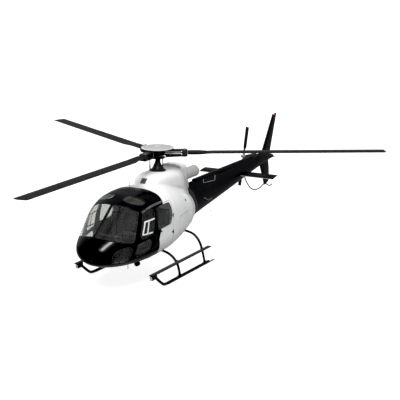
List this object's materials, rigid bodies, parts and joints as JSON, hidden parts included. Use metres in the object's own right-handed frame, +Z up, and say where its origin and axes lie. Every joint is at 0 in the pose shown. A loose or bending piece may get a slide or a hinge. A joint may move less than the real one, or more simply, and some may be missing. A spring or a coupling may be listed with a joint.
{
  "type": "utility helicopter",
  "caption": "Light single-engine utility helicopter on high skids, with a hollow glazed cabin, turning main and tail rotors, and hinged cabin and baggage doors.",
  "frame": {"origin": "centre of the whole helicopter's bounding box, on the ground under it", "axes": "+X towards the port side, +Y towards the tail, +Z up; the nose faces -Y"},
  "size_m": [10.9038, 13.86, 3.34],
  "materials": {
    "nose_shell": "gloss black paint",
    "canopy_frame": "gloss black paint",
    "cabin_floor": "gloss black paint",
    "door_front_left": "gloss black paint",
    "door_front_right": "gloss black paint",
    "rear_fuselage": "gloss white paint",
    "engine_cowling": "gloss white paint",
    "door_rear_left": "gloss white paint",
    "door_rear_right": "gloss white paint",
    "baggage_door_left": "gloss white paint",
    "baggage_door_right": "gloss white paint",
    "windscreen_left": "tinted glazing",
    "windscreen_right": "tinted glazing",
    "roof_window_left": "tinted glazing",
    "roof_window_right": "tinted glazing",
    "chin_window_left": "tinted glazing",
    "chin_window_right": "tinted glazing",
    "glass_front_left": "tinted glazing",
    "glass_front_right": "tinted glazing",
    "glass_rear_left": "tinted glazing",
    "glass_rear_right": "tinted glazing",
    "tail_boom": "satin black paint",
    "tail_shaft_cover": "satin black paint",
    "tail_gearbox": "satin black paint",
    "upper_fin": "satin black paint",
    "ventral_fin": "satin black paint",
    "stabiliser": "satin black paint",
    "cross_tube_front": "satin black paint",
    "cross_tube_rear": "satin black paint",
    "skid_left": "satin black paint",
    "skid_right": "satin black paint",
    "step_left": "satin black paint",
    "step_right": "satin black paint",
    "tail_guard": "bare metal",
    "exhaust_pipe": "bare metal",
    "engine_block": "bare metal",
    "rotor_mast": "bare metal",
    "tail_rotor_hub": "bare metal",
    "instrument_console": "dark matt",
    "intake_grille": "dark matt",
    "mast_fairing": "dark matt",
    "swashplate": "dark matt",
    "seat_front_left": "grey upholstery",
    "seat_front_right": "grey upholstery",
    "rear_bench": "grey upholstery",
    "belly_light": "lamp housing",
    "rotor_star": "light grey composite",
    "hub_cap": "brushed light grey",
    "sleeve_1": "dark grey",
    "sleeve_2": "dark grey",
    "sleeve_3": "dark grey",
    "blade_1": "black composite",
    "blade_2": "black composite",
    "blade_3": "black composite",
    "tail_blade_1": "black composite",
    "tail_blade_2": "black composite"
  },
  "bodies": {
    "airframe": {"nose_shell": "nose_shell", "canopy_frame": "canopy_frame", "cabin_floor": "cabin_floor", "rear_fuselage": "rear_fuselage", "engine_cowling": "engine_cowling", "windscreen_left": "windscreen_left", "windscreen_right": "windscreen_right", "roof_window_left": "roof_window_left", "roof_window_right": "roof_window_right", "chin_window_left": "chin_window_left", "chin_window_right": "chin_window_right", "tail_boom": "tail_boom", "tail_shaft_cover": "tail_shaft_cover", "tail_gearbox": "tail_gearbox", "upper_fin": "upper_fin", "ventral_fin": "ventral_fin", "stabiliser": "stabiliser", "cross_tube_front": "cross_tube_front", "cross_tube_rear": "cross_tube_rear", "skid_left": "skid_left", "skid_right": "skid_right", "step_left": "step_left", "step_right": "step_right", "tail_guard": "tail_guard", "exhaust_pipe": "exhaust_pipe", "engine_block": "engine_block", "instrument_console": "instrument_console", "intake_grille": "intake_grille", "mast_fairing": "mast_fairing", "seat_front_left": "seat_front_left", "seat_front_right": "seat_front_right", "rear_bench": "rear_bench", "belly_light": "belly_light"},
    "main_rotor": {"rotor_mast": "rotor_mast", "swashplate": "swashplate", "rotor_star": "rotor_star", "hub_cap": "hub_cap", "sleeve_1": "sleeve_1", "blade_1": "blade_1", "sleeve_2": "sleeve_2", "blade_2": "blade_2", "sleeve_3": "sleeve_3", "blade_3": "blade_3"},
    "tail_rotor": {"tail_rotor_hub": "tail_rotor_hub", "tail_blade_1": "tail_blade_1", "tail_blade_2": "tail_blade_2"},
    "door_front_left": {"door_front_left": "door_front_left", "glass_front_left": "glass_front_left"},
    "door_rear_left": {"door_rear_left": "door_rear_left", "glass_rear_left": "glass_rear_left"},
    "baggage_door_left": {"baggage_door_left": "baggage_door_left"},
    "door_front_right": {"door_front_right": "door_front_right", "glass_front_right": "glass_front_right"},
    "door_rear_right": {"door_rear_right": "door_rear_right", "glass_rear_right": "glass_rear_right"},
    "baggage_door_right": {"baggage_door_right": "baggage_door_right"}
  },
  "joints": [
    {"name": "main_rotor_turn", "type": "hinge", "parent": "airframe", "child": "main_rotor", "pos_m": [0, -0.73, 3.16], "axis": [0, 0, 1], "continuous": true},
    {"name": "tail_rotor_turn", "type": "hinge", "parent": "airframe", "child": "tail_rotor", "pos_m": [-0.363, 5.277, 1.947], "axis": [1, 0, 0], "continuous": true},
    {"name": "front_door_left_hinge", "type": "hinge", "parent": "airframe", "child": "door_front_left", "pos_m": [0.77, -3.332, 1.15], "axis": [0, 0, -1], "range_deg": [0, 80]},
    {"name": "front_door_right_hinge", "type": "hinge", "parent": "airframe", "child": "door_front_right", "pos_m": [-0.77, -3.332, 1.15], "axis": [0, 0, 1], "range_deg": [0, 80]},
    {"name": "rear_door_left_hinge", "type": "hinge", "parent": "airframe", "child": "door_rear_left", "pos_m": [0.938, -1.515, 1.4], "axis": [0, 0, 1], "range_deg": [0, 80]},
    {"name": "rear_door_right_hinge", "type": "hinge", "parent": "airframe", "child": "door_rear_right", "pos_m": [-0.938, -1.515, 1.4], "axis": [0, 0, -1], "range_deg": [0, 80]},
    {"name": "baggage_door_left_hinge", "type": "hinge", "parent": "airframe", "child": "baggage_door_left", "pos_m": [0.85, -0.75, 1.572], "axis": [0.1762, -0.9844, 0], "range_deg": [0, 80]},
    {"name": "baggage_door_right_hinge", "type": "hinge", "parent": "airframe", "child": "baggage_door_right", "pos_m": [-0.85, -0.75, 1.572], "axis": [0.1762, 0.9844, 0], "range_deg": [0, 80]}
  ],
  "couplings": [
    {"joint": "tail_rotor_turn", "follows": "main_rotor_turn", "ratio": 5.3}
  ]
}
